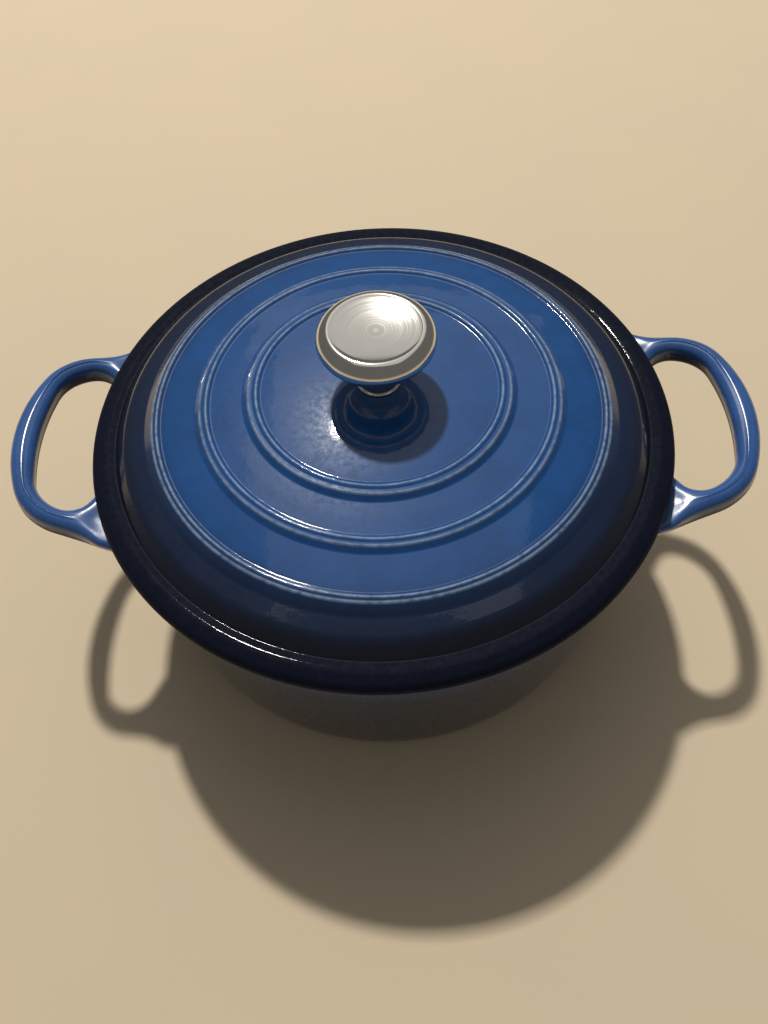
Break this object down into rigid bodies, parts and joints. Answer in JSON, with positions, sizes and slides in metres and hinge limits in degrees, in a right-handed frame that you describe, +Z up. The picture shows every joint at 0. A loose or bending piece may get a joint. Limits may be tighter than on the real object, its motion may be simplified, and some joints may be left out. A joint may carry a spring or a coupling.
{
  "type": "dutch oven",
  "caption": "Round enamelled cast iron dutch oven with loop handles, a stepped domed lid that lifts off and a mushroom shaped stainless steel knob.",
  "frame": {"origin": "centre of the pot's base, on the floor it stands on", "axes": "+Z up, +X and -X through the loop handles"},
  "size_m": [0.3578, 0.273, 0.1682],
  "materials": {
    "blue_enamel": "gloss blue vitreous enamel over cast iron, shading to navy at the lid's edge",
    "pale_enamel": "smooth pale sand vitreous enamel",
    "knob_steel": "stainless steel, brushed on top and polished on the side",
    "fastener_steel": "plain stainless steel"
  },
  "bodies": {
    "pot": {"pot_body": "blue_enamel", "left_handle": "blue_enamel", "right_handle": "blue_enamel", "pot_interior_enamel": "pale_enamel"},
    "lid": {"lid_casting": "blue_enamel", "lid_underside_enamel": "pale_enamel"},
    "knob": {"knob_cap": "knob_steel", "knob_neck": "knob_steel", "knob_insert": "fastener_steel"},
    "washer": {"screw_washer": "fastener_steel"},
    "screw": {"knob_screw": "fastener_steel"}
  },
  "joints": [
    {"name": "lid_lift", "type": "slide", "parent": "pot", "child": "lid", "axis": [0, 0, 1], "range_m": [0, 0.12]},
    {"name": "knob_turn", "type": "hinge", "parent": "lid", "child": "knob", "pos_m": [0, 0, 0.136], "axis": [0, 0, 1], "continuous": true},
    {"name": "washer_drop", "type": "slide", "parent": "lid", "child": "washer", "axis": [0, 0, -1], "range_m": [0, 0.0075]},
    {"name": "screw_unscrew", "type": "hinge", "parent": "washer", "child": "screw", "pos_m": [0, 0, 0.13], "axis": [0, 0, -1], "range_deg": [0, 2700]}
  ],
  "couplings": [
    {"joint": "screw_unscrew", "follows": "washer_drop", "rad_per_m": 6283.2}
  ]
}
